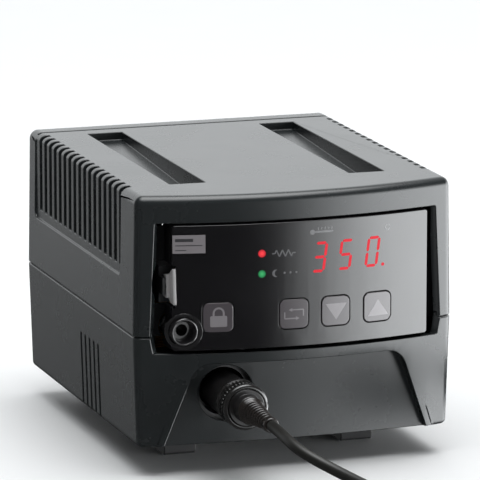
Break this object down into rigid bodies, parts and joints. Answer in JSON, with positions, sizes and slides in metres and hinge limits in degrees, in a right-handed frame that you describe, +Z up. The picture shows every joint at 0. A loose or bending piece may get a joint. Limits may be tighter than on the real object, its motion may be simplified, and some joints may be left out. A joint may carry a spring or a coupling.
{
  "type": "soldering iron station",
  "caption": "Bench soldering iron station with a bowed front panel, three-digit display, four push keys, side vents and an iron on its plugged-in cord.",
  "frame": {"origin": "on the table under the middle of the case", "axes": "+Z up, front towards -Y, +X to the right as seen from the front"},
  "size_m": [0.1979, 0.2498, 0.1025],
  "materials": {
    "cover_grey": "fine moulded satin texture, charcoal grey",
    "case_grey": "fine moulded satin texture, charcoal grey",
    "rubber_dark": "matt rubber",
    "lens_smoke": "smoked glossy lens",
    "carrier_black": "black moulding",
    "key_grey": "satin translucent grey",
    "digit_red": "lit red segments",
    "lamp_green": "lit green lamp",
    "lamp_red": "red lamp",
    "label_plain": "plain printed label",
    "jack_grey": "dark grey insulated socket",
    "rocker_grey": "satin grey rocker",
    "metal_bright": "bright plated steel",
    "board_green": "green solder mask",
    "part_black": "black component bodies",
    "copper_winding": "enamelled copper under tape",
    "core_steel": "laminated core steel",
    "sink_aluminium": "plain aluminium fins",
    "plug_black": "black moulded plug",
    "ring_black": "black ribbed ring",
    "boot_rubber": "brown-black rubber",
    "cord_rubber": "dark silicone cord",
    "ribbon_grey": "grey flat ribbon",
    "handle_grey": "dark grey heat-proof handle",
    "grip_rubber": "soft dark grip",
    "tip_iron": "plated tip"
  },
  "bodies": {
    "station": {"upper_cover": "cover_grey", "lower_case": "case_grey", "rear_panel": "case_grey", "rubber_feet": "rubber_dark", "case_screws": "metal_bright", "mains_inlet": "part_black", "inlet_pins": "metal_bright", "display_lens": "lens_smoke", "panel_carrier": "carrier_black", "tact_switches": "part_black", "display_board": "board_green", "display_board_screws": "metal_bright", "display_module": "part_black", "display_digits": "digit_red", "heat_led": "lamp_red", "sleep_led": "lamp_green", "rating_label": "label_plain", "earth_jack": "jack_grey", "jack_nut": "metal_bright", "switch_body": "part_black", "iron_receptacle": "part_black", "receptacle_nut": "metal_bright", "plug_shell": "plug_black", "cord_boot": "boot_rubber", "iron_cord": "cord_rubber", "cord_coil": "cord_rubber", "iron_cord_end": "cord_rubber", "coil_tie": "part_black", "iron_boot": "boot_rubber", "iron_handle": "handle_grey", "iron_grip": "grip_rubber", "iron_collar": "handle_grey", "iron_nut": "metal_bright", "iron_barrel": "metal_bright", "iron_tip": "tip_iron", "transformer_core": "core_steel", "transformer_winding": "copper_winding", "transformer_bracket": "metal_bright", "transformer_screws": "metal_bright", "main_board": "board_green", "board_screws": "metal_bright", "board_components": "part_black", "heat_sink": "sink_aluminium", "triac": "part_black", "display_ribbon": "ribbon_grey", "fuse_holder": "part_black", "fuse_nut": "part_black", "inlet_screws": "metal_bright", "jack_bezel": "jack_grey"},
    "key_lock": {"key_lock": "key_grey"},
    "mode_key": {"mode_key": "key_grey"},
    "down_key": {"down_key": "key_grey"},
    "up_key": {"up_key": "key_grey"},
    "power_rocker": {"power_rocker": "rocker_grey"},
    "coupling_ring": {"coupling_ring": "ring_black"}
  },
  "joints": [
    {"name": "key_lock_press", "type": "slide", "parent": "station", "child": "key_lock", "axis": [0, 1, 0], "range_m": [0, 0.0005], "stiffness_N_per_m": 500, "springref_m": -0.0005},
    {"name": "mode_key_press", "type": "slide", "parent": "station", "child": "mode_key", "axis": [0, 1, 0], "range_m": [0, 0.0005], "stiffness_N_per_m": 500, "springref_m": -0.0005},
    {"name": "down_key_press", "type": "slide", "parent": "station", "child": "down_key", "axis": [0, 1, 0], "range_m": [0, 0.0005], "stiffness_N_per_m": 500, "springref_m": -0.0005},
    {"name": "up_key_press", "type": "slide", "parent": "station", "child": "up_key", "axis": [0, 1, 0], "range_m": [0, 0.0005], "stiffness_N_per_m": 500, "springref_m": -0.0005},
    {"name": "power_rocker_tip", "type": "hinge", "parent": "station", "child": "power_rocker", "pos_m": [-0.04765, -0.0662, 0.0701], "axis": [1, 0, 0], "range_deg": [0, 12]},
    {"name": "coupling_ring_turn", "type": "hinge", "parent": "station", "child": "coupling_ring", "pos_m": [-0.0262, -0.0844, 0.0293], "axis": [0, 1, 0], "range_deg": [0, 60]}
  ]
}
